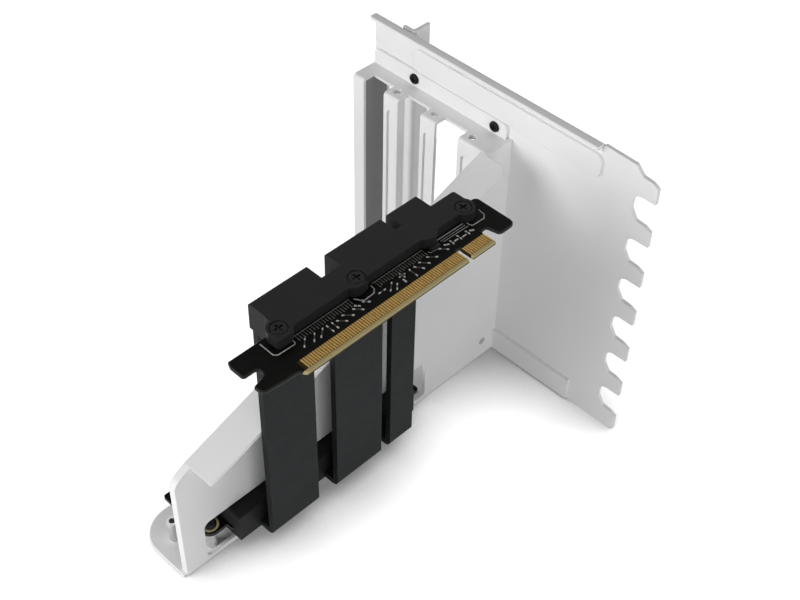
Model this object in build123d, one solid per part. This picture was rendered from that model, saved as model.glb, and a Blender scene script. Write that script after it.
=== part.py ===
from build123d import *
import os

# A vertical mount for a graphics card. It is drawn from the corner where the arm meets the rear plate:
# x runs along the plate towards its tongues, y runs away from the arm's free end, z runs up from the floor.
# All lengths are in millimetres.

# Shared pitches and sheet thicknesses
slot_pitch = 20.32
card_slots = 3
plate_sheet = 1.5
arm_sheet = 1.5
frame_sheet = 1.2
frame_bend_inside = 0.35
board_sheet = 1.6
bend_inside = 0.8

# Rear plate, seen from the front
plate_left = 74.5
plate_height = 136.4
plate_shoulder_drop = 1.0
tongue_reach = 66.7
plate_shoulder_x = tongue_reach - 10.4
tongue_first_low_z = plate_height - 13.4
slot_count = int(tongue_first_low_z / slot_pitch) + 1
tongue_tip_height = 7.1
tongue_shelf_x = tongue_reach - 7.1
tongue_shelf_drop = 11.4
tongue_slant = 0.5
notch_inner_x = tongue_reach - 9.7
notch_inner_drop = 7.2
notch_round = 3.6
lip_right_x = tongue_reach - 25.3
lip_reach = 3.5
lip_corner_round = 1.0
lip_end_gap = 0.2
rib_left_x = -52.0
rib_right_x = lip_right_x + 1.0
rib_low_z = plate_height - 15.2
rib_high_z = plate_height - 4.9
rib_rise = 1.2
rib_round = 3.0
io_left_x = -67.8
io_right_x = -16.0
io_low_z = 12.0
ledge_z = plate_height - 22.4

# Rail for the case's screws, behind the plate
rail_face_x = -54.7
rail_foot_width = 4.8
rail_reach = 10.8
rail_top_z = plate_height - 0.4
rail_hole_radius = 2.2
rail_hole_y = 6.6

# Side arm
arm_length = 170.9
arm_front_z = 54.5
arm_front_run = 7.6
arm_front_rise = 4.3
arm_top_z = ledge_z + 1.0
arm_top_run = 14.5
arm_flange_reach = 11.0
arm_flange_front_round = 1.0
arm_flange_rear_round = 5.0
arm_hem_depth = 1.5
arm_hem_thickness = 1.8
arm_hem_rear_y = -14.5
foot_width = 30.0
foot_front_y = -(arm_length + 1.3)
foot_rear_y = -17.0
foot_narrow = 16.0
foot_front_round = 13.0
weld_tab_length = 42.0
weld_tab_low_z = 1.2
weld_tab_high_z = 12.0
arm_hole_y = -7.9
arm_hole_z = 9.3
arm_hole_radius = 1.75

# Riser board: its front edge sets the place of every riser part along y
riser_front_y = 11.3 - arm_length
board_low_z = 12.0
lower_board_left_x = -27.4
lower_board_right_x = 2.8
lower_board_front_y = riser_front_y
lower_board_rear_y = riser_front_y + 109.6
lower_board_step_y = riser_front_y + 9.1
board_ear_radius = 4.4

# Cut-out in the arm for the lower cover
pass_front_y = riser_front_y - 1.4
pass_rear_y = lower_board_rear_y + 6.5
pass_low_z = 3.0
pass_high_z = 22.9
pass_front_round = 3.0

# Slot frame that holds the card's bracket
frame_left_x = -73.8
frame_right_x = -2.2
frame_depth = 13.3
ledge_depth = 7.5
bar_width = 7.9
inner_leg_width = 13.8
first_bar_right_x = -28.2
frame_tab_high_z = ledge_z + 7.0
frame_tab_round = 2.5
bar_return = 4.0
groove_width = 4.6
groove_start = 1.9
groove_depth = 0.9
groove_wall = 0.8
groove_top_drop = 7.0
card_screw_x = -12.2
card_screw_y = -9.0
card_screw_radius = 1.6
card_screw_collar = 0.9
frame_screw_x = (-51.1, -8.2)
frame_screw_z = ledge_z + 3.3
frame_screw_radius = 1.5
frame_screw_head_radius = 2.25
frame_screw_head_height = 1.0
screw_clearance = 0.15
screw_bite = 0.02

# Card socket
socket_x = -13.0
socket_width = 7.5
socket_length = 89.0
socket_front_y = riser_front_y + 6.6
socket_end_wall = 1.6
socket_peg_radius = 1.2
socket_height = 11.25
socket_slot_width = 2.7
socket_slot_depth = 8.9
socket_key_width = 1.9
contact_pitch = 1.0
contact_key_gap = 1.5
contact_pairs_short = 11
socket_key_from_rear = contact_key_gap + contact_pitch * contact_pairs_short + 2.0
contact_room = socket_length - socket_key_from_rear - contact_key_gap - socket_end_wall
contact_pairs_long = int(contact_room / contact_pitch)
contact_width = 0.6
contact_thickness = 0.35
contact_rise = 7.4
latch_width = 4.6
latch_gap = 0.3
latch_ear = 1.15
latch_pivot_y = socket_front_y - 3.1
latch_pivot_z = 17.6
latch_pin_radius = 0.9
latch_pin_gap = 0.12
latch_top_z = 33.0
latch_hook_reach = 2.6
latch_thickness = 2.4

# Standoffs and screws under the lower board
standoff_radius = 2.25
standoff_bore = 1.25
spare_standoff_x = -16.9
spare_standoff_y = riser_front_y - 4.2
board_screw_x = (-4.6, -21.6)
board_screw_y = (riser_front_y + 4.1, lower_board_rear_y - 3.0)
board_screw_head_radius = 2.7
board_screw_head_height = 1.6
board_screw_radius = 1.2
board_screw_bite = 4.0
washer_radius = 3.7
washer_thickness = 0.5

# Ribbon cables
cable_thickness = 2.6
cable_outer_x = 14.3
cable_top_radius = 5.0
cable_low_radius = 2.1
cable_ends_y = (
    (riser_front_y + 19.7, riser_front_y + 42.9),
    (riser_front_y + 52.7, riser_front_y + 76.4),
    (riser_front_y + 81.2, riser_front_y + 93.6),
)
cable_low_z = 9.8

# Lower cover over the solder ends of the cables
lower_cover_left_x = -8.7
lower_cover_right_x = 6.6
lower_cover_front_y = riser_front_y + 9.9
lower_cover_rear_y = riser_front_y + 102.6
lower_cover_top_z = 22.3
cover_wall = 1.2
cover_floor = 0.8
lower_cover_screw_x = -4.6
lower_cover_screw_y = (riser_front_y + 13.8, riser_front_y + 47.8, riser_front_y + 98.4)
lower_cover_screw_head = 2.4
lower_cover_screw_height = 1.2

# Upper board with the edge that plugs into the computer's own slot
upper_board_top_z = 128.3
upper_board_back_x = 23.0
edge_reach_x = 43.8
edge_key_front_y = riser_front_y + 87.2
edge_key_rear_y = riser_front_y + 89.6
edge_front_y = edge_key_front_y - contact_pitch * contact_pairs_long - 0.9
edge_rear_y = edge_key_rear_y + contact_pitch * contact_pairs_short + 0.1
edge_slot_x = 36.5
tail_reach_x = 41.3
rear_tail_reach_x = 41.8
edge_key_floor_x = 37.1
finger_start_x = 38.1
finger_end_x = 42.3
finger_width = 0.68
finger_thickness = 0.08
upper_board_front_y = edge_front_y - 15.9
upper_board_rear_y = edge_rear_y + 12.1

# Upper cover with a hood over each cable's bend
upper_cover_top_z = 132.3
upper_cover_back_x = 18.9
upper_cover_front_x = 28.6
upper_cover_front_y = riser_front_y + 18.7
upper_cover_rear_y = riser_front_y + 105.6
hood_wall = 0.6
hood_side_gap = 0.1
hood_low_z = 121.0
hood_slant = 2.5
upper_screw_places = (
    (26.1, riser_front_y + 18.8),
    (26.5, riser_front_y + 51.9),
    (26.9, riser_front_y + 102.0),
)
lobe_places = (
    (26.3, riser_front_y + 19.0),
    (26.3, riser_front_y + 50.4),
    (26.3, riser_front_y + 83.6),
    (26.6, riser_front_y + 102.0),
)
lobe_radius = 4.4
upper_screw_head_radius = 3.0
upper_screw_head_height = 1.1
upper_screw_radius = 1.2
boss_wall = 1.2
screw_pocket_wall = 0.7
base_low_z = 118.5

# Worked out from the sizes above
cable_inner_x = cable_outer_x - cable_thickness
board_top_z = board_low_z + board_sheet
upper_board_low_z = upper_board_top_z - board_sheet
cable_high_z = (upper_board_top_z + upper_board_low_z) / 2
cable_run_z = cable_low_z + cable_thickness / 2
hood_left_x = cable_inner_x - hood_wall
boss_radius = upper_screw_radius + screw_clearance + boss_wall
lower_boss_radius = lower_cover_screw_head + screw_clearance + boss_wall
lower_seat_z = lower_cover_top_z - lower_cover_screw_height - 0.1
upper_boss_radius = upper_screw_head_radius + screw_clearance + screw_pocket_wall
upper_seat_z = upper_cover_top_z - upper_screw_head_height
leg_windows = (
    (io_left_x, first_bar_right_x - slot_pitch - bar_width),
    (first_bar_right_x - slot_pitch, first_bar_right_x - bar_width),
    (first_bar_right_x, frame_right_x - inner_leg_width),
)
centre_x = (tongue_reach - plate_left) / 2
centre_y = (rail_reach + foot_front_y) / 2


def outline(points, radii):
    """A closed face through its corners, each rounded by its own radius."""
    return make_face(FilletPolyline(*points, radius=radii, close=True))


def along_x(face, start, end):
    """A face drawn in y and z, made solid between two values of x."""
    return extrude(Plane.YZ.offset(start) * face, amount=end - start)


def along_y(face, start, end):
    """A face drawn in x and z, made solid between two values of y."""
    return extrude(Plane.XZ.offset(-start) * face, amount=start - end)


def along_z(face, start, end):
    """A face drawn in x and y, made solid between two values of z."""
    return extrude(Plane.XY.offset(start) * face, amount=end - start)


def block(x_span, y_span, z_span):
    """A square-edged block between its limits on each axis."""
    size = [end - start for start, end in (x_span, y_span, z_span)]
    middle = [(start + end) / 2 for start, end in (x_span, y_span, z_span)]
    return Pos(*middle) * Box(*size)


def rod_x(y, z, radius, start, end):
    """A round rod along x."""
    return along_x(Pos(y, z) * Circle(radius), start, end)


def rod_y(x, z, radius, start, end):
    """A round rod along y."""
    return along_y(Pos(x, z) * Circle(radius), start, end)


def rod_z(x, y, radius, start, end):
    """A round rod along z."""
    return along_z(Pos(x, y) * Circle(radius), start, end)


def edges_at(shape, axis, **places):
    """The edges along one axis whose middle lies at the given coordinates."""
    found = shape.edges().filter_by(axis)
    for name, value in places.items():
        found = found.filter_by(lambda edge: abs(getattr(edge.center(), name.upper()) - value) < 0.02)
    return found


def pan_screw(head_radius, head_height, shank_radius, shank_length):
    """A screw that points down, with its head standing on z = 0 and a cross recess in it."""
    head = rod_z(0, 0, head_radius, 0, head_height)
    head = fillet(head.edges().sort_by(Axis.Z)[-1], head_height * 0.55)
    recess_depth = head_height * 0.55
    recess_width = head_radius * 0.28
    for turn in (0, 90):
        bar = Box(head_radius * 1.1, recess_width, recess_depth)
        head -= Pos(0, 0, head_height - recess_depth / 2) * Rot(0, 0, turn) * bar
    return head + rod_z(0, 0, shank_radius, -shank_length, 0)


def tongue_notch(low_z):
    """The rounded gap below one tongue, down to the shelf of the next."""
    shelf_z = low_z - tongue_shelf_drop
    outside = tongue_reach + 5
    return outline(
        [
            (outside, low_z),
            (notch_inner_x + 0.4, low_z),
            (notch_inner_x, low_z - notch_inner_drop),
            (tongue_shelf_x, shelf_z),
            (tongue_reach - 2.6, shelf_z - tongue_slant),
            (tongue_reach, low_z - slot_pitch + tongue_tip_height),
            (outside, low_z - slot_pitch + tongue_tip_height),
        ],
        [0, notch_round, 2.0, 0.8, 2.0, 0, 0],
    )


def rear_plate():
    """The folded plate that closes the computer's slots, with a tongue for each slot."""
    last_low_z = tongue_first_low_z - slot_pitch * (slot_count - 1)
    bend_start_z = plate_height - 4
    tongue_top_z = tongue_first_low_z + tongue_tip_height
    shelf_z = tongue_first_low_z + slot_pitch - tongue_shelf_drop
    face = outline(
        [
            (-plate_left, 0),
            (tongue_reach - 3.9, 0),
            (tongue_reach, last_low_z),
            (tongue_reach, tongue_top_z),
            (tongue_reach - 2.6, shelf_z - tongue_slant),
            (tongue_shelf_x, shelf_z),
            (plate_shoulder_x, plate_height - plate_shoulder_drop),
            (lip_right_x + lip_end_gap, plate_height - plate_shoulder_drop / 2),
            (lip_right_x + lip_end_gap, bend_start_z),
            (-plate_left, bend_start_z),
        ],
        [1.0, 0.8, 0.5, 1.6, 2.0, 1.0, 0.6, 0.5, 0.5, 0],
    )
    for i in range(slot_count - 1):
        face -= tongue_notch(tongue_first_low_z - slot_pitch * i)
    plate = along_y(face, 0, plate_sheet)
    lip = outline(
        [
            (plate_sheet, bend_start_z),
            (plate_sheet, plate_height),
            (-lip_reach, plate_height),
            (-lip_reach, plate_height - plate_sheet),
            (0, plate_height - plate_sheet),
            (0, bend_start_z),
        ],
        [0, bend_inside + plate_sheet, 0.6, 0.6, bend_inside, 0],
    )
    lip_plan = outline(
        [
            (-plate_left, -lip_reach),
            (lip_right_x, -lip_reach),
            (lip_right_x, plate_sheet),
            (-plate_left, plate_sheet),
        ],
        [lip_corner_round, lip_corner_round, 0, 0],
    )
    lip_solid = along_x(lip, -plate_left, lip_right_x) & along_z(lip_plan, bend_start_z, plate_height)
    plate += lip_solid
    rib_size = (rib_right_x - rib_left_x, rib_high_z - rib_low_z)
    rib_middle = Pos((rib_left_x + rib_right_x) / 2, (rib_low_z + rib_high_z) / 2)
    plate += along_y(rib_middle * RectangleRounded(*rib_size, rib_round), -rib_rise, 0)
    hollow = [side - 2 * rib_rise for side in rib_size]
    hollow_face = rib_middle * RectangleRounded(*hollow, rib_round - rib_rise)
    plate -= along_y(hollow_face, plate_sheet - rib_rise, plate_sheet)
    window = block((io_left_x, io_right_x), (-1, plate_sheet + 1), (io_low_z, ledge_z))
    window = fillet(window.edges().filter_by(Axis.Y), 1.5)
    plate -= window
    for x in frame_screw_x:
        plate -= rod_y(x, frame_screw_z, frame_screw_radius + screw_bite, -1, plate_sheet + 1)
    return plate


def case_rail():
    """The angle behind the plate that the computer case's slot screws hold."""
    back = plate_sheet
    profile = outline(
        [
            (rail_face_x - rail_foot_width - plate_sheet, back),
            (rail_face_x, back),
            (rail_face_x, rail_reach),
            (rail_face_x - plate_sheet, rail_reach),
            (rail_face_x - plate_sheet, back + plate_sheet),
            (rail_face_x - rail_foot_width - plate_sheet, back + plate_sheet),
        ],
        [0.4, bend_inside + plate_sheet, 0.4, 0.4, bend_inside, 0.4],
    )
    rail = along_z(profile, 0.5, rail_top_z)
    first_z = tongue_first_low_z + tongue_tip_height / 2
    for slot in (0, slot_count - 1):
        hole_z = first_z - slot_pitch * slot
        rail -= rod_x(rail_hole_y, hole_z, rail_hole_radius, rail_face_x - plate_sheet - 1, rail_face_x + 1)
    return rail


def arm_side():
    """The arm's side view, without its holes."""
    slope_front_y = arm_front_run - arm_length
    return outline(
        [
            (-arm_length, 0),
            (0, 0),
            (0, arm_top_z),
            (-arm_top_run, arm_top_z),
            (slope_front_y, arm_front_z + arm_front_rise),
            (-arm_length, arm_front_z),
        ],
        [0, 0, 0, 0, 4.0, 5.0],
    )


def arm_web():
    """The upright sheet of the arm, with its cut-out for the riser's lower cover."""
    web = arm_side()
    cut_out = outline(
        [
            (pass_front_y, pass_low_z),
            (pass_rear_y, pass_low_z),
            (pass_rear_y, pass_high_z),
            (pass_front_y, pass_high_z),
        ],
        [2.0, 1.5, 1.5, pass_front_round],
    )
    web -= cut_out
    web -= Pos(arm_hole_y, arm_hole_z) * Circle(arm_hole_radius)
    return along_x(web, -arm_sheet, 0)


def arm_flange():
    """The stiffening flange that follows the arm's sloping top edge."""
    front = Vector(-arm_sheet, arm_front_run - arm_length, arm_front_z + arm_front_rise)
    rear = Vector(-arm_sheet, -arm_top_run, arm_top_z)
    along = (rear - front).normalized()
    down = Vector(0, along.Z, -along.Y)
    length = (rear - front).length
    reach = arm_sheet + arm_flange_reach
    face = outline(
        [(0, 0), (length, 0), (length, reach), (0, reach)],
        [0, 0, arm_flange_rear_round, arm_flange_front_round],
    )
    return extrude(Plane(origin=front, x_dir=along, z_dir=down) * face, amount=arm_sheet)


def arm_hem():
    """The edge of the arm folded back on itself, up its front and along its slope."""
    side = arm_side()
    rim = side - offset(side, -arm_hem_depth, kind=Kind.INTERSECTION)
    front_y = -arm_length
    kept = Pos((front_y + arm_hem_rear_y) / 2, (arm_sheet + arm_top_z) / 2) * Rectangle(
        arm_hem_rear_y - front_y, arm_top_z - arm_sheet
    )
    return along_x(rim & kept, -arm_sheet - arm_hem_thickness, -arm_sheet)


def side_arm():
    """The folded arm: web, foot, sloping flange and the tab that is welded to the plate."""
    foot = outline(
        [
            (-arm_sheet / 2, foot_front_y),
            (-arm_sheet / 2, foot_rear_y),
            (-foot_narrow, foot_rear_y),
            (-foot_narrow, foot_rear_y - 12),
            (-foot_width, foot_rear_y - 26),
            (-foot_width, foot_front_y),
        ],
        [0, 0, 2.0, 4.0, 4.0, foot_front_round],
    )
    foot_solid = along_z(foot, 0, arm_sheet)
    tab = block((-arm_sheet / 2, weld_tab_length), (-arm_sheet, 0), (weld_tab_low_z, weld_tab_high_z))
    arm = arm_web() + arm_flange() + foot_solid + tab
    arm = fillet(edges_at(arm, Axis.Y, x=-arm_sheet, z=arm_sheet), bend_inside)
    arm = fillet(edges_at(arm, Axis.Z, x=0, y=-arm_sheet), bend_inside)
    arm = fillet(edges_at(arm, Axis.Y, x=0, z=0), weld_tab_low_z - 0.2)
    return arm + arm_hem()


def bar_groove(left_x):
    """The long rounded groove pressed into one upright, with the metal it pushes back."""
    low_z = io_low_z / 2
    high_z = ledge_z - groove_top_drop
    height = high_z - low_z
    middle = Pos(left_x + groove_start + groove_width / 2, (low_z + high_z) / 2)
    front = -frame_depth
    inner = RectangleRounded(groove_width, height, groove_width / 2 - 0.05)
    outer_width = groove_width + 2 * groove_wall
    outer = RectangleRounded(outer_width, height + 2 * groove_wall, outer_width / 2 - 0.05)
    recess = along_y(middle * inner, front - 1, front + groove_depth)
    pushed = along_y(middle * outer, front + frame_sheet, front + groove_depth + frame_sheet)
    return recess, pushed


def slot_frame():
    """The folded frame that stands in front of the plate and holds the card's bracket."""
    front = -frame_depth
    top = ledge_z
    uprights = (
        (frame_left_x, io_left_x),
        (leg_windows[0][1], leg_windows[1][0]),
        (leg_windows[1][1], leg_windows[2][0]),
        (leg_windows[2][1], frame_right_x),
    )
    rail = block((frame_left_x, frame_right_x), (front, front + frame_sheet), (0, io_low_z))
    floor = block((frame_left_x, frame_right_x), (front, 0), (0, frame_sheet))
    ledge = block((frame_left_x, frame_right_x), (-ledge_depth, 0), (top - frame_sheet, top))
    frame = rail + floor + ledge
    for left_x, right_x in uprights:
        frame += block((left_x, right_x), (front, front + frame_sheet), (0, top))
        frame += block((left_x, right_x), (front, -ledge_depth + 1), (top - frame_sheet, top))
    side = block((io_left_x - frame_sheet, io_left_x), (front, 0), (0, top))
    bar_edge = uprights[1][1]
    bar_side = block((bar_edge - frame_sheet, bar_edge), (front, front + bar_return), (io_low_z, top))
    frame += side + bar_side
    tab = outline(
        [
            (frame_left_x, top - frame_sheet),
            (frame_right_x, top - frame_sheet),
            (frame_right_x, frame_tab_high_z),
            (frame_left_x, frame_tab_high_z),
        ],
        [0, 0, frame_tab_round, frame_tab_round],
    )
    frame += along_y(tab, -frame_sheet, 0)
    frame = fillet(edges_at(frame, Axis.X, y=front, z=top), frame_sheet + 0.3)
    frame = fillet(edges_at(frame, Axis.X, y=-frame_sheet, z=top), frame_bend_inside)
    frame = fillet(edges_at(frame, Axis.X, y=front, z=0), frame_sheet - 0.2)
    for left_x, right_x in uprights[1:]:
        recess, pushed = bar_groove(left_x)
        frame += pushed
        frame -= recess
    for i in range(card_slots):
        x = card_screw_x - slot_pitch * i
        frame += rod_z(x, card_screw_y, card_screw_radius + 1.0, top - frame_sheet - card_screw_collar, top)
        frame -= rod_z(x, card_screw_y, card_screw_radius, top - 6, top + 1)
    for x in frame_screw_x:
        frame -= rod_y(x, frame_screw_z, frame_screw_radius + screw_clearance, -4, 1)
    return frame


def frame_screws():
    """The two screws that hold the slot frame to the plate."""
    grip = frame_sheet + plate_sheet + 0.8
    screw = pan_screw(frame_screw_head_radius, frame_screw_head_height, frame_screw_radius, grip)
    return [Pos(x, -frame_sheet, frame_screw_z) * Rot(90, 0, 0) * screw for x in frame_screw_x]


def board_screw_places():
    """The places of the lower board's screws."""
    return [(x, y) for x in board_screw_x for y in board_screw_y]


def standoffs():
    """Threaded standoffs pressed into the arm's foot, with one spare at its front."""
    post = rod_z(0, 0, standoff_radius, arm_sheet, board_low_z)
    post -= rod_z(0, 0, standoff_bore, arm_sheet + 2, board_low_z + 1)
    places = board_screw_places() + [(spare_standoff_x, spare_standoff_y)]
    return [Pos(x, y, 0) * post for x, y in places]


def board_washers():
    """The rings under the lower board's screw heads."""
    rings = []
    for x, y in board_screw_places():
        ring = rod_z(x, y, washer_radius, board_top_z, board_top_z + washer_thickness)
        hole = rod_z(x, y, board_screw_radius + screw_clearance, board_top_z - 1, board_top_z + 2)
        rings.append(ring - hole)
    return rings


def board_screws():
    """The screws that hold the lower board to its standoffs."""
    grip = board_sheet + washer_thickness + board_screw_bite
    screw = pan_screw(board_screw_head_radius, board_screw_head_height, board_screw_radius, grip)
    head_z = board_top_z + washer_thickness
    return [Pos(x, y, head_z) * screw for x, y in board_screw_places()]


def lower_board():
    """The circuit board under the card socket, with a round ear at its front screw."""
    ear_x = board_screw_x[0] + board_ear_radius
    face = outline(
        [
            (lower_board_left_x, lower_board_front_y),
            (ear_x, lower_board_front_y),
            (ear_x, lower_board_step_y),
            (lower_board_right_x, lower_board_step_y),
            (lower_board_right_x, lower_board_rear_y),
            (lower_board_left_x, lower_board_rear_y),
        ],
        [1.0, board_ear_radius - 0.4, 0.8, 0.8, 1.5, 1.5],
    )
    for x, y in board_screw_places():
        face -= Pos(x, y) * Circle(board_screw_radius + screw_clearance)
    for y in lower_cover_screw_y:
        face -= Pos(lower_cover_screw_x, y) * Circle(upper_screw_radius + screw_clearance)
    for y in socket_peg_places():
        face -= Pos(socket_x, y) * Circle(socket_peg_radius + screw_clearance)
    return along_z(face, board_low_z, board_top_z)


def socket_peg_places():
    """The places along y of the socket's two locating pegs."""
    return (socket_front_y + 5, socket_front_y + socket_length - socket_key_from_rear)


def contact_rows():
    """The places along y of the contacts, the short group by the key first."""
    key_y = socket_front_y + socket_length - socket_key_from_rear
    short = [key_y + contact_key_gap + contact_pitch * i for i in range(contact_pairs_short)]
    long = [key_y - contact_key_gap - contact_pitch * i for i in range(contact_pairs_long)]
    return short + long


def slot_housing():
    """The moulded socket that the graphics card's edge goes into."""
    rear_y = socket_front_y + socket_length
    half = socket_width / 2
    top = board_top_z + socket_height
    body = block((socket_x - half, socket_x + half), (socket_front_y, rear_y), (board_top_z, top))
    body = chamfer(body.edges().group_by(Axis.Z)[-1], 0.5)
    slot_half = socket_slot_width / 2
    slot_low = top - socket_slot_depth
    key_y = rear_y - socket_key_from_rear
    key_half = socket_key_width / 2
    slot_x = (socket_x - slot_half, socket_x + slot_half)
    body -= block(slot_x, (key_y + key_half, rear_y - socket_end_wall), (slot_low, top + 1))
    body -= block(slot_x, (socket_front_y + socket_end_wall, key_y - key_half), (slot_low, top + 1))
    for y in socket_peg_places():
        body += rod_z(socket_x, y, socket_peg_radius, board_low_z - 0.8, board_top_z)
    ear_inside = latch_width / 2 + latch_gap
    ear_front_y = latch_pivot_y - 2.4
    for side in (-1, 1):
        inner_x = socket_x + side * ear_inside
        outer_x = inner_x + side * latch_ear
        ear_x = (min(inner_x, outer_x), max(inner_x, outer_x))
        ear = block(ear_x, (ear_front_y, socket_front_y + 1), (board_top_z, latch_pivot_z + 2.6))
        ear = fillet(ear.edges().filter_by(Axis.X).sort_by(Axis.Y)[:2], 1.4)
        body += ear
    pin_hole = latch_pin_radius + latch_pin_gap
    pin_reach = ear_inside + latch_ear + 1
    body -= rod_x(latch_pivot_y, latch_pivot_z, pin_hole, socket_x - pin_reach, socket_x + pin_reach)
    return body


def slot_contacts():
    """The spring contacts that line both walls of the socket."""
    low = board_top_z + socket_height - socket_slot_depth
    wall = socket_slot_width / 2
    strips = []
    for y in contact_rows():
        y_span = (y - contact_width / 2, y + contact_width / 2)
        for side in (-1, 1):
            outer = socket_x + side * wall
            inner = outer - side * contact_thickness
            x_span = (min(outer, inner), max(outer, inner))
            strips.append(block(x_span, y_span, (low, low + contact_rise)))
    return strips


def slot_latch():
    """The lever that snaps over the card's tail at the far end of the socket."""
    half = latch_width / 2
    y = latch_pivot_y
    z = latch_pivot_z
    side = outline(
        [
            (y - 1.6, z - 2.6),
            (y + 1.6, z - 2.6),
            (y + 1.4, z + 3.0),
            (y - 0.4, latch_top_z - 5.6),
            (y + latch_hook_reach, latch_top_z - 6.6),
            (y + latch_hook_reach, latch_top_z - 4.6),
            (y - 1.2, latch_top_z),
            (y - 1.2 - latch_thickness, latch_top_z),
            (y - 1.2 - latch_thickness, z + 4.0),
        ],
        [1.4, 1.4, 1.5, 0.8, 0.4, 0.8, 1.0, 0.8, 2.0],
    )
    lever = along_x(side, socket_x - half, socket_x + half)
    pin_half = half + latch_gap + latch_ear
    return lever + rod_x(y, z, latch_pin_radius, socket_x - pin_half, socket_x + pin_half)


def cable(ends_y):
    """One flat cable: out of the upper board, down past the arm, and in under the lower cover."""
    start_x = upper_board_back_x
    end_x = lower_board_right_x
    half = cable_thickness / 2
    outer = [
        (start_x, cable_high_z + half),
        (cable_inner_x, cable_high_z + half),
        (cable_inner_x, cable_run_z + half),
        (end_x, cable_run_z + half),
    ]
    inner = [
        (end_x, cable_run_z - half),
        (cable_outer_x, cable_run_z - half),
        (cable_outer_x, cable_high_z - half),
        (start_x, cable_high_z - half),
    ]
    radii = [
        0,
        cable_top_radius + half,
        cable_low_radius - half,
        0,
        0,
        cable_low_radius + half,
        cable_top_radius - half,
        0,
    ]
    return along_y(outline(outer + inner, radii), *ends_y)


def lower_cover_span():
    """The lower cover's limits along x and y."""
    return (
        (lower_cover_left_x, lower_cover_right_x),
        (lower_cover_front_y, lower_cover_rear_y),
    )


def shrunk(span, wall):
    """A span with a wall taken off each end."""
    return (span[0] + wall, span[1] - wall)


def lower_cover_top():
    """The moulded cap over the cables' solder ends, on top of the lower board."""
    x_span, y_span = lower_cover_span()
    skirt_x = (lower_board_right_x + 0.2, lower_cover_right_x)
    cap = block(x_span, y_span, (board_top_z, lower_cover_top_z))
    skirt_low = cable_low_z + cable_thickness
    cap += block(skirt_x, y_span, (skirt_low, board_top_z + 1))
    cap = fillet(cap.edges().group_by(Axis.Z)[-1], 0.8)
    inside_z = (skirt_low - 1, lower_cover_top_z - cover_wall)
    cap -= block(shrunk(x_span, cover_wall), shrunk(y_span, cover_wall), inside_z)
    for y in lower_cover_screw_y:
        cap += rod_z(lower_cover_screw_x, y, lower_boss_radius, board_top_z, lower_cover_top_z - 0.5)
    for y in lower_cover_screw_y:
        shank_hole_radius = upper_screw_radius + screw_clearance
        cap -= rod_z(lower_cover_screw_x, y, shank_hole_radius, board_top_z - 1, lower_cover_top_z)
        pocket_radius = lower_cover_screw_head + screw_clearance
        cap -= rod_z(lower_cover_screw_x, y, pocket_radius, lower_seat_z, lower_cover_top_z + 1)
    return cap


def lower_cover_bottom():
    """The tray that closes the lower cover from below, with posts between the cables."""
    x_span, y_span = lower_cover_span()
    floor_low = cable_low_z - cover_floor
    tray = block(x_span, y_span, (floor_low, board_low_z))
    tray -= block(shrunk(x_span, cover_wall), shrunk(y_span, cover_wall), (cable_low_z, board_low_z + 1))
    rib_x = (lower_board_right_x + 0.2, lower_cover_right_x)
    for cable_y in cable_ends_y:
        tray -= block((rib_x[0], lower_cover_right_x + 1), cable_y, (cable_low_z, board_low_z + 1))
    rib_top = cable_low_z + cable_thickness
    gaps = [y_span[0]] + [y for ends in cable_ends_y for y in ends] + [y_span[1]]
    for start, end in zip(gaps[0::2], gaps[1::2]):
        tray += block(rib_x, (start, end), (cable_low_z, rib_top))
    for y in lower_cover_screw_y:
        tray += rod_z(lower_cover_screw_x, y, boss_radius, floor_low, board_low_z)
        tray -= rod_z(lower_cover_screw_x, y, upper_screw_radius + screw_bite, cable_low_z, board_low_z + 1)
    return tray


def lower_cover_screws():
    """The screws that clamp the two halves of the lower cover to the board."""
    grip = lower_seat_z - cable_low_z - 0.3
    screw = pan_screw(lower_cover_screw_head, lower_cover_screw_height, upper_screw_radius, grip)
    return [Pos(lower_cover_screw_x, y, lower_seat_z) * screw for y in lower_cover_screw_y]


def upper_board():
    """The circuit board with the gold edge, a hooked tail in front and a plain tail behind."""
    back = upper_board_back_x
    front = upper_board_front_y
    rear = upper_board_rear_y
    face = outline(
        [
            (back, front + 1.0),
            (back + 2.4, front),
            (31.5, front),
            (31.5, front + 5.7),
            (34.7, front + 5.7),
            (36.4, front),
            (40.4, front),
            (tail_reach_x, front + 12.0),
            (tail_reach_x, edge_front_y - 2.2),
            (edge_reach_x, edge_front_y),
            (edge_reach_x, edge_rear_y),
            (edge_slot_x, edge_rear_y),
            (edge_slot_x, edge_rear_y + 2.9),
            (rear_tail_reach_x, edge_rear_y + 4.0),
            (rear_tail_reach_x, rear),
            (back + 1.0, rear),
            (back, rear - 1.5),
        ],
        [0.6, 0.8, 1.2, 1.4, 1.4, 0.8, 2.2, 4.0, 0.8, 0.6, 0.6, 1.2, 0.8, 2.0, 2.6, 1.6, 0.8],
    )
    notch_x = (edge_key_floor_x, edge_reach_x + 1)
    notch = Pos(sum(notch_x) / 2, (edge_key_front_y + edge_key_rear_y) / 2)
    face -= notch * Rectangle(notch_x[1] - notch_x[0], edge_key_rear_y - edge_key_front_y)
    for x, y in upper_screw_places:
        face -= Pos(x, y) * Circle(upper_screw_radius + screw_clearance)
    board = along_z(face, upper_board_low_z, upper_board_top_z)
    return chamfer(edges_at(board, Axis.Y, x=edge_reach_x), 0.45)


def finger_rows():
    """The places along y of the gold fingers, the short group by the key first."""
    middle = (edge_key_front_y + edge_key_rear_y) / 2
    short = [middle + contact_key_gap + contact_pitch * i for i in range(contact_pairs_short)]
    long = [middle - contact_key_gap - contact_pitch * i for i in range(contact_pairs_long)]
    return short + long


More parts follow.
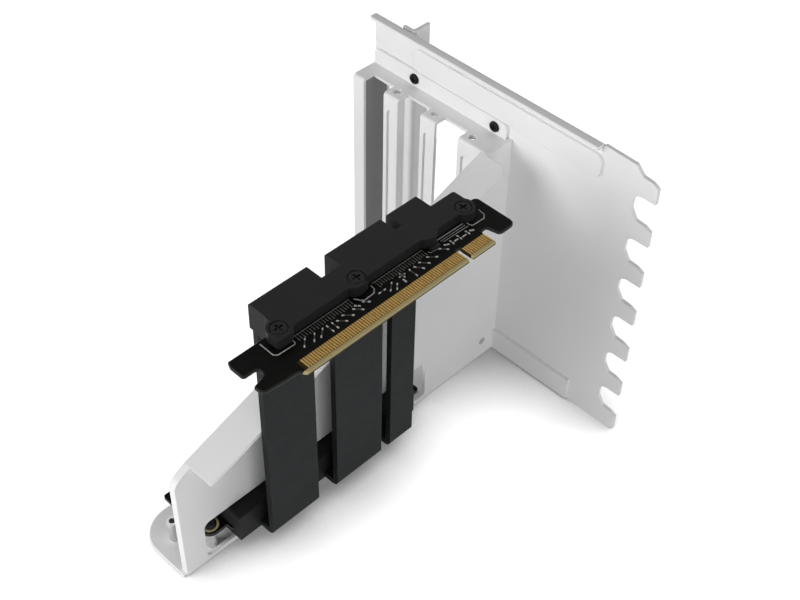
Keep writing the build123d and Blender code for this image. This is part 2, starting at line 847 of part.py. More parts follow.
def edge_fingers(low_z):
    """One face's gold fingers, standing just proud of the board."""
    x_span = (finger_start_x, finger_end_x)
    z_span = (low_z, low_z + finger_thickness)
    half = finger_width / 2
    return [block(x_span, (y - half, y + half), z_span) for y in finger_rows()]


def hood_span(cable_y):
    """The limits along y of the hood over one cable."""
    margin = hood_side_gap + hood_wall
    return (cable_y[0] - margin, cable_y[1] + margin)


def upper_cover():
    """The moulded cover with a hood over each cable's bend and lobes round its screws."""
    top = upper_cover_top_z
    deck = top - 1.0
    y_span = (upper_cover_front_y, upper_cover_rear_y)
    body_face = outline(
        [
            (upper_cover_back_x, y_span[0]),
            (upper_cover_front_x, y_span[0]),
            (upper_cover_front_x, y_span[1]),
            (upper_cover_back_x, y_span[1]),
        ],
        [1.0, 2.0, 2.0, 1.0],
    )
    for x, y in lobe_places:
        body_face += Pos(x, y) * Circle(lobe_radius)
    cover = along_z(body_face, upper_board_top_z, top)
    hood_side = outline(
        [
            (hood_left_x, hood_low_z),
            (cable_outer_x, hood_low_z),
            (upper_cover_back_x + 1, hood_low_z - hood_slant),
            (upper_cover_back_x + 1, top),
            (hood_left_x, top),
        ],
        [0, 0, 0, 0, 1.2],
    )
    for cable_y in cable_ends_y:
        cover += along_y(hood_side, *hood_span(cable_y))
    for cable_y in cable_ends_y:
        gap_y = (cable_y[0] - hood_side_gap, cable_y[1] + hood_side_gap)
        cover -= block((cable_inner_x, upper_board_back_x), gap_y, (hood_low_z - 5, deck))
    cavity_x = (upper_cover_back_x + cover_wall, upper_cover_front_x - cover_wall)
    cover -= block(cavity_x, shrunk(y_span, cover_wall), (upper_board_top_z - 1, deck))
    for x, y in upper_screw_places:
        cover += rod_z(x, y, upper_boss_radius, upper_board_top_z, deck)
    for x, y in upper_screw_places:
        cover -= rod_z(x, y, upper_screw_radius + screw_clearance, upper_board_top_z - 1, top + 1)
        cover -= rod_z(x, y, upper_screw_head_radius + screw_clearance, upper_seat_z, top + 1)
    return cover


def upper_cover_base():
    """The tray under the upper board, with its back sloped where the cables come in."""
    floor_top = base_low_z + cover_wall
    high = upper_board_low_z
    back_x = cable_outer_x + hood_side_gap
    y_span = (upper_cover_front_y, upper_cover_rear_y)
    cable_gap = cable_thickness / 2 - board_sheet / 2
    rim_z = upper_board_top_z - hood_side_gap
    side_back_x = upper_cover_back_x + 1.2
    side_front_x = upper_cover_front_x + 2
    side = outline(
        [
            (side_back_x, base_low_z),
            (side_front_x, base_low_z),
            (side_front_x, high),
            (upper_board_back_x - 0.2, high),
            (upper_board_back_x - 0.2, rim_z),
            (side_back_x, rim_z),
        ],
        [1.0, 1.0, 0, 0, 0, 0],
    )
    tray = along_y(side, *y_span)
    pocket_x = shrunk((side_back_x, side_front_x), cover_wall)
    tray -= block(pocket_x, shrunk(y_span, cover_wall), (floor_top, rim_z + 1))
    for cable_y in cable_ends_y:
        gap_y = (cable_y[0] - hood_side_gap, cable_y[1] + hood_side_gap)
        tray -= block((back_x, upper_board_back_x), gap_y, (high - cable_gap - 0.05, rim_z + 1))
    for x, y in upper_screw_places:
        tray += rod_z(x, y, boss_radius, base_low_z, high)
        tray -= rod_z(x, y, upper_screw_radius + screw_bite, floor_top, high + 1)
    return tray


def upper_cover_screws():
    """The screws that clamp the upper cover and its base to the board."""
    grip = upper_seat_z - base_low_z - cover_wall - 0.4
    screw = pan_screw(upper_screw_head_radius, upper_screw_head_height, upper_screw_radius, grip)
    return [Pos(x, y, upper_seat_z) * screw for x, y in upper_screw_places]


nodes = {
    "rear_plate": rear_plate(),
    "case_rail": case_rail(),
    "side_arm": side_arm(),
    "slot_frame": slot_frame(),
    "frame_screws": frame_screws(),
    "standoffs": standoffs(),
    "lower_board": lower_board(),
    "board_washers": board_washers(),
    "board_screws": board_screws(),
    "slot_housing": slot_housing(),
    "slot_contacts": slot_contacts(),
    "slot_latch": slot_latch(),
    "cable_front": cable(cable_ends_y[0]),
    "cable_middle": cable(cable_ends_y[1]),
    "cable_rear": cable(cable_ends_y[2]),
    "lower_cover_top": lower_cover_top(),
    "lower_cover_bottom": lower_cover_bottom(),
    "lower_cover_screws": lower_cover_screws(),
    "upper_board": upper_board(),
    "edge_fingers_top": edge_fingers(upper_board_top_z),
    "edge_fingers_bottom": edge_fingers(upper_board_low_z - finger_thickness),
    "upper_cover": upper_cover(),
    "upper_cover_base": upper_cover_base(),
    "upper_cover_screws": upper_cover_screws(),
}

os.makedirs("parts", exist_ok=True)
for name, shape in nodes.items():
    solids = shape if isinstance(shape, list) else [shape]
    centred = Compound(children=[Pos(-centre_x, -centre_y, 0) * solid for solid in solids])
    export_step(centred, f"parts/{name}.step")
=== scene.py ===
import math
import random

import bmesh
import bpy
from mathutils import Matrix, Vector


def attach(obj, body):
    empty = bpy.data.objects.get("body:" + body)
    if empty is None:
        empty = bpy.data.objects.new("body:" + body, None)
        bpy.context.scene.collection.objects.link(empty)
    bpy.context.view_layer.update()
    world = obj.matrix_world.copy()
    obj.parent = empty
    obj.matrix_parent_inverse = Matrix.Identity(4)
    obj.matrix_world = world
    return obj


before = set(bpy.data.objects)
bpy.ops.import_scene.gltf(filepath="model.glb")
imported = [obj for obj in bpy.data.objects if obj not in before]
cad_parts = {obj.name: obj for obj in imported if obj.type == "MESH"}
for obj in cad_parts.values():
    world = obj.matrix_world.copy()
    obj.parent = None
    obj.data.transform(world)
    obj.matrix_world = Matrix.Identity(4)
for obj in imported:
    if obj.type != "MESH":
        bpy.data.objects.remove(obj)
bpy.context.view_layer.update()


# The table and the light.
# A white sheet of card lies under the mount. A large soft box stands to the left of the camera, a second
# one low on its right and a third behind the mount, and the white room fills the rest. The camera sees
# the card white, apart from a soft shade close to the mount.
scene = bpy.context.scene
scene.view_settings.view_transform = "Standard"

eye = (0.261856, -0.246834, 0.437673)
turn = math.radians(43.922)
tilt = math.radians(44.682)
roll = math.radians(1.367)
ahead = Vector((-math.sin(turn) * math.cos(tilt), math.cos(turn) * math.cos(tilt), -math.sin(tilt)))
level = Vector((math.cos(turn), math.sin(turn), 0.0))
above = level.cross(ahead)
right = level * math.cos(roll) + above * math.sin(roll)
up = above * math.cos(roll) - level * math.sin(roll)
lens = bpy.data.cameras.new("camera")
lens.lens = 61.58
lens.sensor_width = 36.0
lens.clip_start = 0.01
camera = bpy.data.objects.new("camera", lens)
facing = Matrix((right, up, -ahead)).transposed().to_4x4()
camera.matrix_world = Matrix.Translation(eye) @ facing
scene.collection.objects.link(camera)
scene.camera = camera


def seen_directly(tree):
    """1 for what the camera sees, directly or in a reflection or through glass, otherwise 0."""
    path = tree.nodes.new("ShaderNodeLightPath")
    total = path.outputs["Is Camera Ray"]
    for ray in ("Is Glossy Ray", "Is Transmission Ray"):
        either = tree.nodes.new("ShaderNodeMath")
        either.operation = "MAXIMUM"
        tree.links.new(total, either.inputs[0])
        tree.links.new(path.outputs[ray], either.inputs[1])
        total = either.outputs[0]
    return total


room = bpy.data.worlds.new("white_room")
room.use_nodes = True
scene.world = room
tree = room.node_tree
tree.nodes.clear()
glow = tree.nodes.new("ShaderNodeBackground")
glow.inputs["Color"].default_value = (1.0, 1.0, 1.0, 1.0)
glow.inputs["Strength"].default_value = 0.15
wall = tree.nodes.new("ShaderNodeBackground")
wall.inputs["Color"].default_value = (1.0, 1.0, 1.0, 1.0)
wall.inputs["Strength"].default_value = 1.0
either = tree.nodes.new("ShaderNodeMixShader")
sky = tree.nodes.new("ShaderNodeOutputWorld")
tree.links.new(seen_directly(tree), either.inputs[0])
tree.links.new(glow.outputs[0], either.inputs[1])
tree.links.new(wall.outputs[0], either.inputs[2])
tree.links.new(either.outputs[0], sky.inputs["Surface"])

middle = Vector((0.0, 0.0, 0.06))
for name, direction, distance, size, power in (
    ("soft_box_left", (-0.34, -0.9, 0.4), 0.9, 0.7, 5.8),
    ("soft_box_right", (0.95, -0.45, 0.16), 1.05, 0.75, 3.9),
    ("soft_box_back", (0.5, 0.8, 0.35), 1.0, 0.6, 2.6),
):
    light = bpy.data.lights.new(name, "AREA")
    light.shape = "DISK"
    light.size = size
    light.energy = power
    lamp = bpy.data.objects.new(name, light)
    lamp.location = middle + Vector(direction).normalized() * distance
    lamp.rotation_euler = (middle - lamp.location).to_track_quat("-Z", "Y").to_euler()
    scene.collection.objects.link(lamp)

card = bpy.data.materials.new("white_card")
card.use_nodes = True
tree = card.node_tree
tree.nodes.clear()
bounce = tree.nodes.new("ShaderNodeBsdfDiffuse")
bounce.inputs["Color"].default_value = (0.8, 0.8, 0.8, 1.0)
paper = tree.nodes.new("ShaderNodeBsdfDiffuse")
paper.inputs["Color"].default_value = (0.35, 0.35, 0.35, 1.0)
nearness = tree.nodes.new("ShaderNodeAmbientOcclusion")
nearness.samples = 16
nearness.inputs["Distance"].default_value = 0.04
shade = tree.nodes.new("ShaderNodeMapRange")
for name, value in (("From Min", 0.3), ("From Max", 0.88), ("To Min", 0.12), ("To Max", 1.0)):
    shade.inputs[name].default_value = value
tree.links.new(nearness.outputs["AO"], shade.inputs["Value"])
shine = tree.nodes.new("ShaderNodeEmission")
tree.links.new(shade.outputs["Result"], shine.inputs["Strength"])
both = tree.nodes.new("ShaderNodeAddShader")
either = tree.nodes.new("ShaderNodeMixShader")
output = tree.nodes.new("ShaderNodeOutputMaterial")
tree.links.new(paper.outputs[0], both.inputs[0])
tree.links.new(shine.outputs[0], both.inputs[1])
tree.links.new(seen_directly(tree), either.inputs[0])
tree.links.new(bounce.outputs[0], either.inputs[1])
tree.links.new(both.outputs[0], either.inputs[2])
tree.links.new(either.outputs[0], output.inputs["Surface"])

sheet = bmesh.new()
bmesh.ops.create_grid(sheet, x_segments=1, y_segments=1, size=2.5)
table = bpy.data.meshes.new("table")
sheet.to_mesh(table)
sheet.free()
table_top = bpy.data.objects.new("table", table)
table_top.location.z = -0.00005
table.materials.append(card)
scene.collection.objects.link(table_top)


# The folded bracket.
# Rear plate, case rail, side arm and slot frame are cut from steel sheet, folded and welded together,
# and then powder coated white as one, so they share a satin coat with a fine orange peel. The inner
# face of the frame's deep left side is coloured dark grey as painted shade for the shade that falls there.
def sheen(name, colour, rough, metal=0.0, specular=0.5):
    """Starts a finish: its shader's fixed values are set on the shader itself."""
    made = bpy.data.materials.new(name)
    made.use_nodes = True
    shader = made.node_tree.nodes["Principled BSDF"]
    shader.inputs["Base Color"].default_value = (*colour, 1.0)
    shader.inputs["Roughness"].default_value = rough
    shader.inputs["Metallic"].default_value = metal
    shader.inputs["Specular IOR Level"].default_value = specular
    return made


def noise(made, size_mm, detail=3.0, stretch=(1.0, 1.0, 1.0)):
    """Cloudy noise whose lumps are about size_mm across, fixed to the part."""
    tree = made.node_tree
    place = tree.nodes.new("ShaderNodeTexCoord")
    scale = tree.nodes.new("ShaderNodeMapping")
    scale.inputs["Scale"].default_value = stretch
    cloud = tree.nodes.new("ShaderNodeTexNoise")
    cloud.inputs["Scale"].default_value = 1000.0 / size_mm
    cloud.inputs["Detail"].default_value = detail
    tree.links.new(place.outputs["Object"], scale.inputs["Vector"])
    tree.links.new(scale.outputs["Vector"], cloud.inputs["Vector"])
    return cloud.outputs["Fac"]


def between(made, driver, low, high, start=0.3, end=0.7):
    """A number that goes from low to high as the driver goes from start to end."""
    spread = made.node_tree.nodes.new("ShaderNodeMapRange")
    spread.inputs["From Min"].default_value = start
    spread.inputs["From Max"].default_value = end
    spread.inputs["To Min"].default_value = low
    spread.inputs["To Max"].default_value = high
    made.node_tree.links.new(driver, spread.inputs["Value"])
    return spread.outputs["Result"]


def blend_colours(made, driver, first, second):
    """A colour that goes from the first to the second with the driver. Each is a colour or a socket."""
    mix = made.node_tree.nodes.new("ShaderNodeMix")
    mix.data_type = "RGBA"
    made.node_tree.links.new(driver, mix.inputs["Factor"])
    # The node's inputs 6 and 7 are the colours that it mixes, and its output 2 is the mixed one.
    for number, colour in ((6, first), (7, second)):
        if isinstance(colour, tuple):
            mix.inputs[number].default_value = (*colour, 1.0)
        else:
            made.node_tree.links.new(colour, mix.inputs[number])
    return mix.outputs[2]


def set_input(made, name, value):
    """Joins a socket to one of the shader's inputs."""
    made.node_tree.links.new(value, made.node_tree.nodes["Principled BSDF"].inputs[name])


def tint(made, driver, first, second):
    """Colours the finish from the first to the second with the driver."""
    set_input(made, "Base Color", blend_colours(made, driver, first, second))


def roughen(made, driver, depth_mm, corner_mm=0.0):
    """Lumps of that depth on the surface, with its corners rounded off in the light."""
    tree = made.node_tree
    bump = tree.nodes.new("ShaderNodeBump")
    bump.inputs["Strength"].default_value = 1.0
    bump.inputs["Distance"].default_value = depth_mm / 1000.0
    tree.links.new(driver, bump.inputs["Height"])
    if corner_mm:
        corner = tree.nodes.new("ShaderNodeBevel")
        corner.samples = 6
        corner.inputs["Radius"].default_value = corner_mm / 1000.0
        tree.links.new(corner.outputs["Normal"], bump.inputs["Normal"])
    set_input(made, "Normal", bump.outputs["Normal"])


def coat(node, made):
    """Gives one drawn part its finish."""
    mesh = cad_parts[node].data
    mesh.materials.clear()
    mesh.materials.append(made)


# The frame's origin lies this far from the corner where the arm meets the plate, in millimetres.
drawing_offset = {"X": 3.9, "Y": 80.7, "Z": 0.0}


def where(made, **spans):
    """1 inside a box given in millimetres from the corner of arm and plate, otherwise 0."""
    tree = made.node_tree
    place = tree.nodes.new("ShaderNodeTexCoord")
    position = tree.nodes.new("ShaderNodeSeparateXYZ")
    tree.links.new(place.outputs["Object"], position.inputs[0])
    soft_edge = 0.00003
    inside = None
    for axis, span in spans.items():
        low, high = ((value + drawing_offset[axis]) / 1000.0 for value in span)
        sides = (
            between(made, position.outputs[axis], 0.0, 1.0, start=low - soft_edge, end=low),
            between(made, position.outputs[axis], 1.0, 0.0, start=high, end=high + soft_edge),
        )
        for side in sides:
            if inside is None:
                inside = side
                continue
            share = tree.nodes.new("ShaderNodeMath")
            share.operation = "MULTIPLY"
            tree.links.new(inside, share.inputs[0])
            tree.links.new(side, share.inputs[1])
            inside = share.outputs[0]
    return inside


powder_white = sheen("powder_white", (0.86, 0.86, 0.865), 0.45, specular=0.35)
patches = between(powder_white, noise(powder_white, 38.0), 0.0, 1.0)
full_coat = blend_colours(powder_white, patches, (0.84, 0.84, 0.845), (0.875, 0.875, 0.88))
# Painted shade: the inner face of the frame's deep left side is coloured dark grey to stand in for the
# shade that falls there.
painted_shade_deep_side = where(powder_white, X=(-69.1, -67.7), Y=(-12.1, -0.05), Z=(0.0, 113.0))
tint(powder_white, painted_shade_deep_side, full_coat, (0.24, 0.24, 0.245))
peel = noise(powder_white, 0.9, detail=2.0)
set_input(powder_white, "Roughness", between(powder_white, peel, 0.38, 0.52))
roughen(powder_white, peel, 0.012, corner_mm=0.35)
for node in ("rear_plate", "case_rail", "side_arm", "slot_frame"):
    coat(node, powder_white)


# The screws.
# Pan head screws of blackened steel with a pressed cross recess. Two hold the frame to the plate, four
# hold the lower board, and three each close the lower and the upper cover.
black_oxide = sheen("black_oxide", (0.012, 0.012, 0.012), 0.45, metal=0.2, specular=0.15)
wear = noise(black_oxide, 1.4, detail=5.0)
tint(black_oxide, between(black_oxide, wear, 0.0, 1.0), (0.006, 0.006, 0.0062), (0.014, 0.014, 0.0145))
set_input(black_oxide, "Roughness", between(black_oxide, wear, 0.38, 0.56))
roughen(black_oxide, noise(black_oxide, 0.35), 0.01, corner_mm=0.12)
for node in ("frame_screws", "board_screws", "lower_cover_screws", "upper_cover_screws"):
    coat(node, black_oxide)


# The standoffs and the rings on the lower board.
# The posts are turned from steel, plated bright and pressed into the foot. The rings are dull brass and
# are held between the board and the heads of its screws.
turned_steel = sheen("turned_steel", (0.62, 0.62, 0.61), 0.35, metal=0.85)
rings = noise(turned_steel, 0.5, detail=2.0, stretch=(0.15, 0.15, 2.0))
tint(turned_steel, between(turned_steel, rings, 0.0, 1.0), (0.55, 0.55, 0.54), (0.7, 0.7, 0.69))
set_input(turned_steel, "Roughness", between(turned_steel, rings, 0.28, 0.45))
roughen(turned_steel, rings, 0.02, corner_mm=0.15)
coat("standoffs", turned_steel)
dull_brass = sheen("dull_brass", (0.42, 0.36, 0.22), 0.4, metal=0.9)
tarnish = noise(dull_brass, 1.2, detail=4.0)
tint(dull_brass, between(dull_brass, tarnish, 0.0, 1.0), (0.3, 0.25, 0.14), (0.5, 0.44, 0.28))
set_input(dull_brass, "Roughness", between(dull_brass, tarnish, 0.3, 0.5))
roughen(dull_brass, tarnish, 0.01, corner_mm=0.1)
coat("board_washers", dull_brass)


# The boards.
# Glass-cloth boards under black solder mask, milled to shape, so the cut edges show greyish cloth. The
# plug edge of the upper one is ground to a bare yellowish slope so that it slides into its slot.
mask_black = sheen("mask_black", (0.004, 0.004, 0.004), 0.36, specular=0.04)
tree = mask_black.node_tree
place = tree.nodes.new("ShaderNodeTexCoord")
tracks = tree.nodes.new("ShaderNodeTexBrick")
tracks.inputs["Scale"].default_value = 420.0
tracks.inputs["Mortar Size"].default_value = 0.03
tree.links.new(place.outputs["Object"], tracks.inputs["Vector"])
normal = tree.nodes.new("ShaderNodeSeparateXYZ")
tree.links.new(place.outputs["Normal"], normal.inputs[0])
steepness = tree.nodes.new("ShaderNodeMath")
steepness.operation = "ABSOLUTE"
tree.links.new(normal.outputs["Z"], steepness.inputs[0])
mottle = between(mask_black, noise(mask_black, 3.0, detail=4.0), 0.0, 1.0)
mask_colour = blend_colours(mask_black, mottle, (0.002, 0.002, 0.0019), (0.0045, 0.0041, 0.0036))
cloth = between(mask_black, noise(mask_black, 0.25, stretch=(1.0, 1.0, 3.0)), 0.0, 1.0)
cloth_colour = blend_colours(mask_black, cloth, (0.03, 0.03, 0.028), (0.065, 0.065, 0.06))
side_share = between(mask_black, steepness.outputs[0], 1.0, 0.0, start=0.4, end=0.95)
with_sides = blend_colours(mask_black, side_share, mask_colour, cloth_colour)
finger_field = where(mask_black, X=(38.2, 42.35), Y=(-144.4, -58.8))
between_fingers = blend_colours(mask_black, cloth, (0.03, 0.018, 0.005), (0.055, 0.034, 0.01))
with_gaps = blend_colours(mask_black, finger_field, with_sides, between_fingers)
slope_colour = blend_colours(mask_black, cloth, (0.44, 0.36, 0.17), (0.56, 0.48, 0.26))
with_slope = blend_colours(mask_black, where(mask_black, X=(42.4, 60.0)), with_gaps, slope_colour)
under_slope = where(mask_black, X=(43.6, 60.0), Z=(100.0, 127.7))
tint(mask_black, under_slope, with_slope, (0.05, 0.04, 0.02))
set_input(mask_black, "Roughness", between(mask_black, mottle, 0.32, 0.45))
roughen(mask_black, tracks.outputs["Fac"], 0.02, corner_mm=0.12)
for node in ("lower_board", "upper_board"):
    coat(node, mask_black)


# The gold fingers and the socket's springs.
# Copper plated with hard gold. The fingers lie side by side on both faces of the plug edge, and the
# springs line both walls of the card socket.
hard_gold = sheen("hard_gold", (0.8, 0.55, 0.25), 0.32, metal=0.9)
rub = noise(hard_gold, 0.7, detail=4.0, stretch=(0.4, 2.0, 1.0))
tint(hard_gold, between(hard_gold, rub, 0.0, 1.0), (0.32, 0.185, 0.048), (0.44, 0.29, 0.095))
set_input(hard_gold, "Roughness", between(hard_gold, rub, 0.25, 0.42))
roughen(hard_gold, rub, 0.006)
for node in ("edge_fingers_top", "edge_fingers_bottom", "slot_contacts"):
    coat(node, hard_gold)


# The moulded parts.
# Covers, card socket and its latch are injection moulded in black with a fine spark-eroded grain. Screws
# clamp the covers round their boards, the socket is soldered down, and the latch turns on its pivot.
moulded_black = sheen("moulded_black", (0.012, 0.012, 0.012), 0.55, specular=0.13)
flow = between(moulded_black, noise(moulded_black, 12.0), 0.0, 1.0)
tint(moulded_black, flow, (0.0095, 0.0095, 0.0098), (0.0135, 0.0135, 0.0138))
grain = noise(moulded_black, 0.28, detail=4.0)
set_input(moulded_black, "Roughness", between(moulded_black, grain, 0.48, 0.66))
roughen(moulded_black, grain, 0.012, corner_mm=0.3)
covers = ("upper_cover", "upper_cover_base", "lower_cover_top", "lower_cover_bottom")
for node in (*covers, "slot_housing", "slot_latch"):
    coat(node, moulded_black)


# The three flat cables.
# Many thin flat cables lie on each other in a sleeve of matt black film, creased where it bends out of
# the upper cover and under the lower one.
black_film = sheen("black_film", (0.011, 0.013, 0.0135), 0.6, specular=0.1)
cloud = between(black_film, noise(black_film, 9.0, detail=2.0), 0.0, 1.0)
tint(black_film, cloud, (0.0095, 0.0115, 0.0122), (0.0125, 0.0145, 0.0152))
weave = noise(black_film, 0.3, detail=3.0, stretch=(1.0, 1.0, 0.5))
set_input(black_film, "Roughness", between(black_film, weave, 0.5, 0.68))
roughen(black_film, weave, 0.01, corner_mm=0.2)
for node in ("cable_front", "cable_middle", "cable_rear"):
    coat(node, black_film)


# The upper cover's square corner.
# The cover has a square corner outside the pocket of its first screw. It is moulded in black in one with
# the cover, and only its two outer faces and its top show beyond the round boss.
def at(x, y, z):
    """A place given in millimetres from the corner where the arm meets the plate."""
    return Vector((x + drawing_offset["X"], y + drawing_offset["Y"], z)) / 1000.0


def piece(name, mesh, made):
    """Turns the drawn mesh into a piece that rides on the mount, with its finish."""
    bmesh.ops.recalc_face_normals(mesh, faces=mesh.faces)
    data = bpy.data.meshes.new(name)
    mesh.to_mesh(data)
    mesh.free()
    data.materials.append(made)
    thing = bpy.data.objects.new(name, data)
    scene.collection.objects.link(thing)
    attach(thing, "mount")


# The outline runs round the outside of the corner, and each of its points has one inside the boss.
mask_z = 128.3
corner_low_z = mask_z + 0.02
corner_top_z = 132.29
chamfer = 0.2
chamfer_z = 132.1
boss_middle = Vector((26.3, -140.6))
boss_inside = 3.8
outline = ((26.0, -144.9), (29.9, -144.9), (30.6, -144.2), (30.6, -140.4))
corner = bmesh.new()
rings = []
for z, inward in ((corner_low_z, 0.0), (chamfer_z, 0.0), (corner_top_z, chamfer)):
    inner_ring = []
    outer_ring = []
    for point in outline:
        toward = (boss_middle - Vector(point)).normalized()
        outer_ring.append(corner.verts.new(at(*(Vector(point) + toward * inward), z)))
        inner_ring.append(corner.verts.new(at(*(boss_middle - toward * boss_inside), z)))
    rings.append((outer_ring, inner_ring))
last = len(outline) - 1
for (outer_low, inner_low), (outer_high, inner_high) in zip(rings, rings[1:]):
    for i in range(last):
        corner.faces.new((outer_low[i], outer_low[i + 1], outer_high[i + 1], outer_high[i]))
        corner.faces.new((inner_low[i], inner_high[i], inner_high[i + 1], inner_low[i + 1]))
    for i in (0, last):
        corner.faces.new((outer_low[i], outer_high[i], inner_high[i], inner_low[i]))
for outer_ring, inner_ring in (rings[0], rings[-1]):
    for i in range(last):
        corner.faces.new((outer_ring[i], outer_ring[i + 1], inner_ring[i + 1], inner_ring[i]))
piece("cover_corner", corner, moulded_black)


# The white print on the upper board.
# Ink lines are screen printed on the mask: a cut-cornered outline round lobes of the cover, thin lines
# along the cover's front, and a few marks by the chip.
def ribbon(mesh, points, width, low_z, high_z):
    """A flat ribbon that follows the points, all in the drawing's millimetres."""
    points = [Vector(point) for point in points]
    sides = []
    for i, point in enumerate(points):
        steps = []
        if i:
            steps.append((point - points[i - 1]).normalized())
        if i < len(points) - 1:
            steps.append((points[i + 1] - point).normalized())
        along = sum(steps, Vector((0.0, 0.0))).normalized()
        across = Vector((-along.y, along.x))
        reach = width / 2 / max(0.5, across.dot(Vector((-steps[0].y, steps[0].x))))
        sides.append((point + across * reach, point - across * reach))
    rings = []
    for left_side, right_side in sides:
        rings.append([mesh.verts.new(at(*corner, z)) for corner, z in (
            (left_side, low_z), (left_side, high_z), (right_side, high_z), (right_side, low_z))])
    for first, second in zip(rings, rings[1:]):
        for i in range(4):
            j = (i + 1) % 4
            mesh.faces.new((first[i], second[i], second[j], first[j]))
    mesh.faces.new(rings[0])
    mesh.faces.new(list(reversed(rings[-1])))


print_z = mask_z + 0.04
white_ink = sheen("white_ink", (0.34, 0.34, 0.33), 0.6, specular=0.3)
fade = between(white_ink, noise(white_ink, 0.6, detail=3.0), 0.0, 1.0)
tint(white_ink, fade, (0.32, 0.32, 0.31), (0.6, 0.6, 0.58))
roughen(white_ink, fade, 0.01)
lines = bmesh.new()
for width, points in (
    (0.4, ((24.3, -147.3), (30.7, -147.4), (31.8, -146.4), (32.0, -139.6), (31.5, -139.0), (29.2, -138.9))),
    (0.4, ((30.2, -112.6), (32.1, -111.5), (33.1, -110.5), (32.9, -106.1), (31.6, -104.6), (29.6, -104.3))),
    (0.4, ((28.6, -51.3), (31.6, -51.8), (32.9, -53.3), (32.7, -58.8), (31.6, -59.3), (30.4, -59.4))),
    (0.16, ((29.3, -138.9), (29.3, -113.8))),
    (0.16, ((29.3, -103.4), (29.3, -80.0))),
    (0.22, ((31.3, -79.4), (32.3, -79.0), (32.6, -76.0))),
    (0.5, ((29.5, -73.4), (29.7, -60.2))),
    (0.22, ((30.6, -72.6), (30.8, -60.6))),
    (0.26, ((31.5, -72.2), (31.8, -60.0))),
):
    ribbon(lines, points, width, mask_z, print_z)
piece("board_print", lines, white_ink)


# The solder pads along the cover.
# The cables' wires end on tinned copper pads of the upper board, so a comb of thin dull pads shows in
# front of the cover. Their lengths vary a little with the solder that wetted them.
def brick(mesh, x_span, y_span, z_span, turn_degrees=0.0, slope=0.0):
    """A small block, with its top drawn in by slope and turned about its own middle."""
    centre = Vector(((x_span[0] + x_span[1]) / 2, (y_span[0] + y_span[1]) / 2))
    spin = Matrix.Rotation(math.radians(turn_degrees), 2)
    corners = []
    for z, inward in ((z_span[0], 0.0), (z_span[1], slope)):
        half = Vector(((x_span[1] - x_span[0]) / 2 - inward, (y_span[1] - y_span[0]) / 2 - inward))
        for sign_x, sign_y in ((-1, -1), (1, -1), (1, 1), (-1, 1)):
            offset = spin @ Vector((sign_x * half.x, sign_y * half.y))
            corners.append(mesh.verts.new(at(centre.x + offset.x, centre.y + offset.y, z)))
    mesh.faces.new(list(reversed(corners[:4])))
    mesh.faces.new(corners[4:])
    for i in range(4):
        j = (i + 1) % 4
        mesh.faces.new((corners[i], corners[j], corners[j + 4], corners[i + 4]))


dull_tin = sheen("dull_tin", (0.2, 0.2, 0.19), 0.42, metal=0.7)
solder = noise(dull_tin, 0.4, detail=4.0)
tint(dull_tin, between(dull_tin, solder, 0.0, 1.0), (0.06, 0.062, 0.055), (0.2, 0.2, 0.18))
set_input(dull_tin, "Roughness", between(dull_tin, solder, 0.3, 0.55))
roughen(dull_tin, solder, 0.02)
pads = bmesh.new()
pad_high_z = mask_z + 0.09
chance = random.Random(7)
pad_pitch = 1.09
pad_half = 0.17
pad_y = -137.2
while pad_y < -79.6:
    behind_lobe = -113.4 < pad_y < -103.2
    if not behind_lobe:
        pad_end_x = 32.3 + chance.uniform(-0.5, 0.3)
        pad_sides = (pad_y - pad_half, pad_y + pad_half)
        brick(pads, (29.4, pad_end_x), pad_sides, (mask_z, pad_high_z), slope=0.03)
    pad_y += pad_pitch
piece("cover_pads", pads, dull_tin)


# The small parts on the upper board.
# Fired ceramic parts are soldered flat on the mask, each a dark body between two tinned ends. One flat
# chip of black resin sits behind the comb of pads. Each row gives a part's middle, angle and length.
small_parts = (
    (33.7, -137.0, -44, 4.0), (34.1, -133.2, -43, 3.8), (34.3, -130.2, -49, 4.2), (34.8, -127.1, 0, 3.6),
    (34.8, -125.0, 0, 3.4), (34.9, -122.1, 46, 3.8), (34.4, -119.0, 48, 4.2), (34.7, -114.8, 44, 3.8),
    (33.4, -114.0, 43, 2.2), (34.0, -110.6, 46, 2.8), (34.2, -103.6, 90, 3.2), (34.7, -100.0, -50, 4.2),
    (36.0, -98.5, -45, 3.0), (35.8, -94.8, 0, 1.8), (35.0, -90.1, 0, 4.2), (34.7, -87.0, 34, 3.8),
    (34.3, -84.1, 42, 4.0), (34.1, -80.2, 49, 4.0), (34.1, -74.6, 42, 3.6), (33.3, -72.4, 60, 2.0),
    (33.7, -70.2, 0, 2.2), (34.0, -68.4, 90, 1.8), (33.7, -66.6, 0, 2.4), (34.4, -64.8, 90, 1.8),
    (34.0, -62.8, 0, 2.2), (34.2, -61.0, 60, 1.8),
)
end_half_x = 0.5
end_half_y = 0.26
ends = bmesh.new()
bodies = bmesh.new()
for x, y, angle, length in small_parts:
    along = Vector((math.cos(math.radians(angle)), math.sin(math.radians(angle))))
    reach = length / 2 - 0.45
    brick(bodies, (x - reach, x + reach), (y - 0.2, y + 0.2), (mask_z, mask_z + 0.2), angle, slope=0.04)
    for side in (-1, 1):
        end = Vector((x, y)) + along * side * reach
        end_x_span = (end.x - end_half_x, end.x + end_half_x)
        end_y_span = (end.y - end_half_y, end.y + end_half_y)
        brick(ends, end_x_span, end_y_span, (mask_z, mask_z + 0.26), angle, slope=0.06)
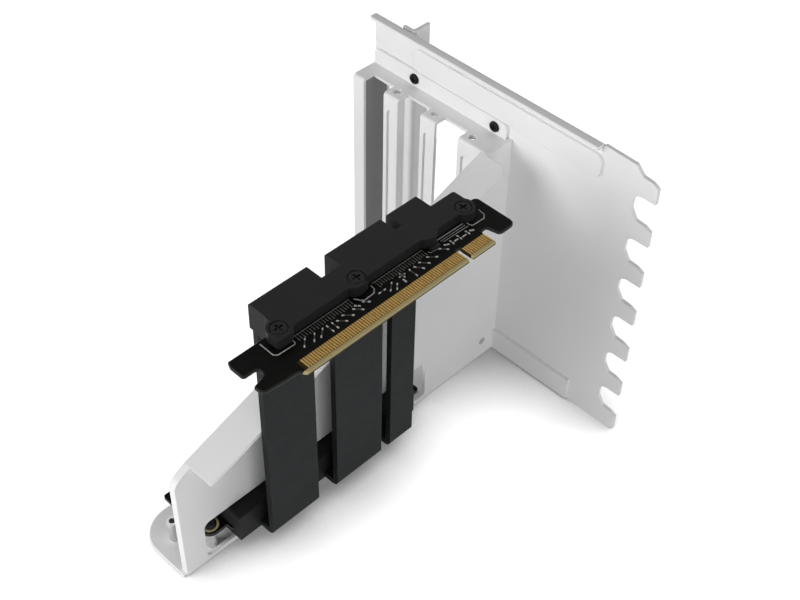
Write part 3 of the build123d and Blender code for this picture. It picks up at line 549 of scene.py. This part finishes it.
# A square part that stands on its corner, with a tinned end at each side
for x, y in ((32.5, -93.7), (34.4, -93.5), (33.4, -92.6), (33.4, -94.7)):
    brick(ends, (x - 0.3, x + 0.3), (y - 0.3, y + 0.3), (mask_z, mask_z + 0.2), 45, slope=0.05)
brick(bodies, (32.7, 34.1), (-94.3, -92.9), (mask_z, mask_z + 0.35), 45, slope=0.08)
bright_tin = sheen("bright_tin", (0.34, 0.34, 0.33), 0.4, metal=0.55)
dross = noise(bright_tin, 0.3, detail=4.0)
tint(bright_tin, between(bright_tin, dross, 0.0, 1.0), (0.3, 0.3, 0.29), (0.6, 0.6, 0.58))
set_input(bright_tin, "Roughness", between(bright_tin, dross, 0.3, 0.5))
roughen(bright_tin, dross, 0.02)
piece("part_ends", ends, bright_tin)
ceramic = sheen("grey_ceramic", (0.07, 0.066, 0.06), 0.5, specular=0.3)
bake = between(ceramic, noise(ceramic, 0.5, detail=3.0), 0.0, 1.0)
tint(ceramic, bake, (0.03, 0.03, 0.028), (0.07, 0.068, 0.064))
roughen(ceramic, bake, 0.01)
piece("part_bodies", bodies, ceramic)
chip = bmesh.new()
brick(chip, (29.4, 32.4), (-78.6, -74.0), (mask_z, mask_z + 0.9), slope=0.12)
chip_black = sheen("chip_black", (0.004, 0.004, 0.004), 0.5, specular=0.25)
resin = between(chip_black, noise(chip_black, 0.6), 0.0, 1.0)
tint(chip_black, resin, (0.003, 0.003, 0.003), (0.006, 0.006, 0.006))
roughen(chip_black, noise(chip_black, 0.2), 0.01)
piece("flat_chip", chip, chip_black)


# The socket's tails.
# The springs of the card socket end in tinned copper tails. They pass through the lower board in two
# rows and are soldered there, so that they stand out a little under it.
tails = bmesh.new()
tail_half = 0.25
tail_y = -149.0
while tail_y < -66.0:
    for x in (-14.6, -11.4):
        tail_x_span = (x - tail_half, x + tail_half)
        tail_y_span = (tail_y - tail_half, tail_y + tail_half)
        brick(tails, tail_x_span, tail_y_span, (12.0, 10.9), slope=0.1)
    tail_y += 2.0
piece("socket_tails", tails, bright_tin)
